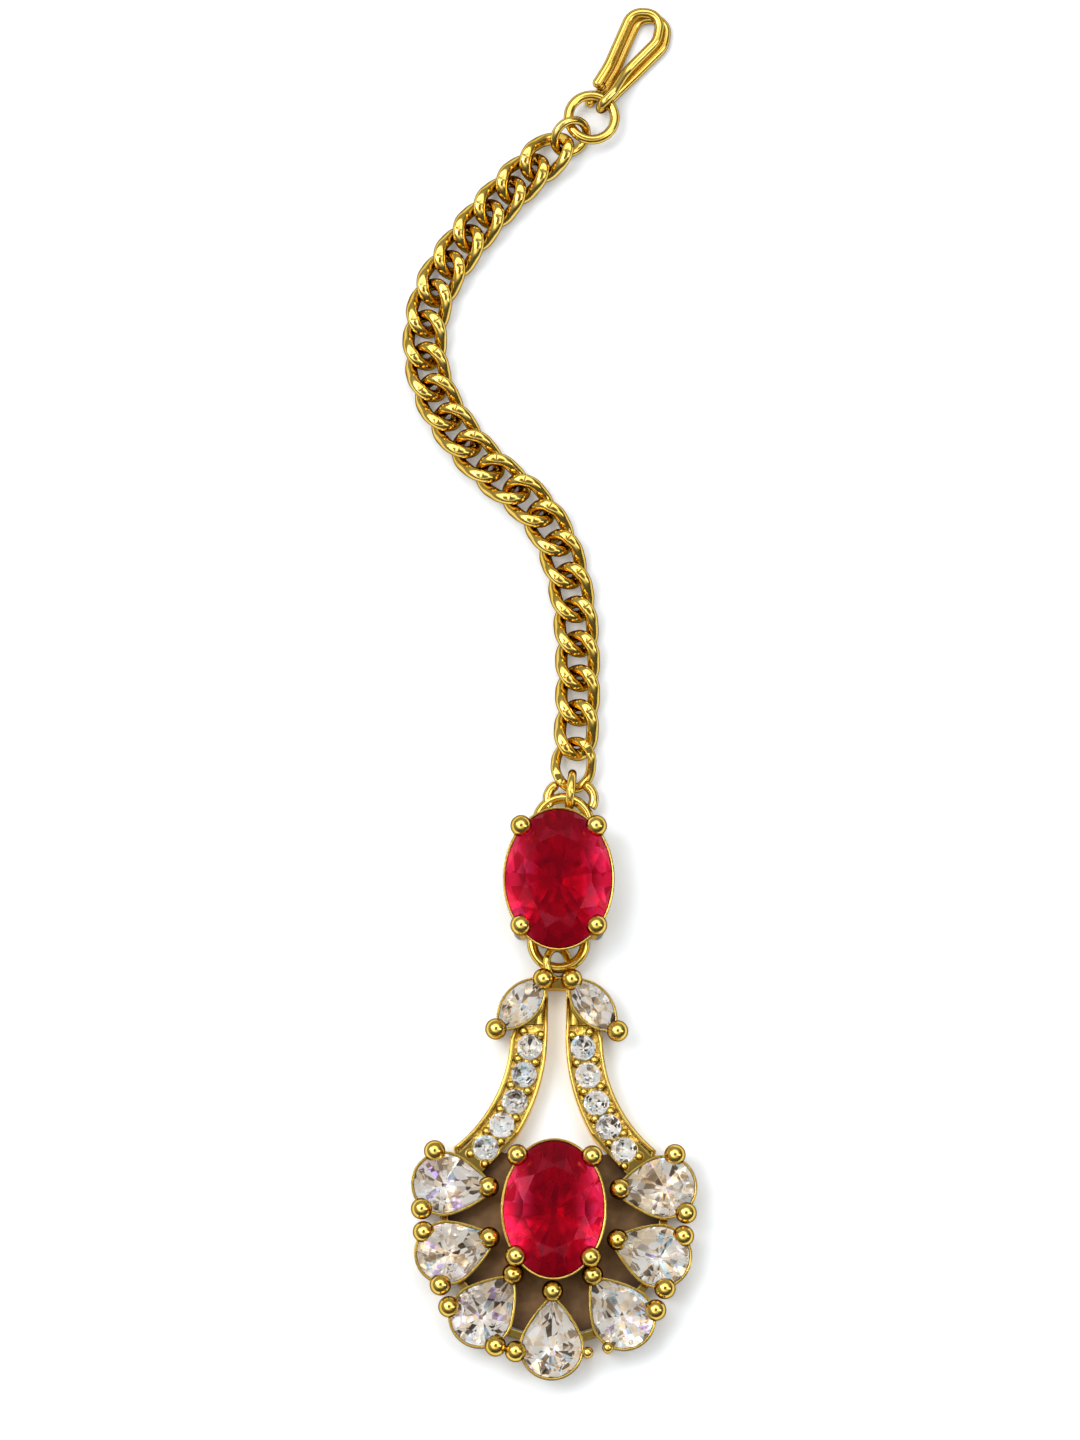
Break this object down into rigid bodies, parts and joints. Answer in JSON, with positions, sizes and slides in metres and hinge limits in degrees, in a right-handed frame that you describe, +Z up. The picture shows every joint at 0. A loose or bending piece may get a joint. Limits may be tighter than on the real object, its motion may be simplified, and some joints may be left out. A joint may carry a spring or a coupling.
{
  "type": "maang tikka",
  "caption": "Gold forehead jewel laid flat: wire hook, ring and curb chain to an oval red stone in prongs, then a fan drop of pear stones round a second oval, with curved stone-set arms",
  "frame": {"origin": "centre of the bounding box in plan, on the table the jewel lies on", "axes": "+Z up from the table, +Y along the length towards the hook, +X to the right seen from above with the hook away from the viewer"},
  "size_m": [0.0216, 0.1024, 0.0047],
  "materials": {
    "gold": "polished deep yellow gold plate",
    "ruby": "faceted crimson glass",
    "clear_stone": "faceted clear zirconia"
  },
  "bodies": {
    "root": {"hook": "gold", "top_ring": "gold", "neck_ring": "gold", "link_01": "gold", "link_02": "gold", "link_03": "gold", "link_04": "gold", "link_05": "gold", "link_06": "gold", "link_07": "gold", "link_08": "gold", "link_09": "gold", "link_10": "gold", "link_11": "gold", "link_12": "gold", "link_13": "gold", "link_14": "gold", "link_15": "gold", "link_16": "gold", "link_17": "gold", "link_18": "gold", "link_19": "gold", "link_20": "gold", "link_21": "gold", "link_22": "gold", "drop_ring": "gold", "upper_setting": "gold", "pendant_frame": "gold", "upper_ruby": "ruby", "lower_ruby": "ruby", "pear_1": "clear_stone", "pear_2": "clear_stone", "pear_3": "clear_stone", "pear_4": "clear_stone", "pear_5": "clear_stone", "pear_6": "clear_stone", "pear_7": "clear_stone", "marquise_left": "clear_stone", "marquise_right": "clear_stone", "rounds_left": "clear_stone", "rounds_right": "clear_stone"}
  },
  "joints": []
}
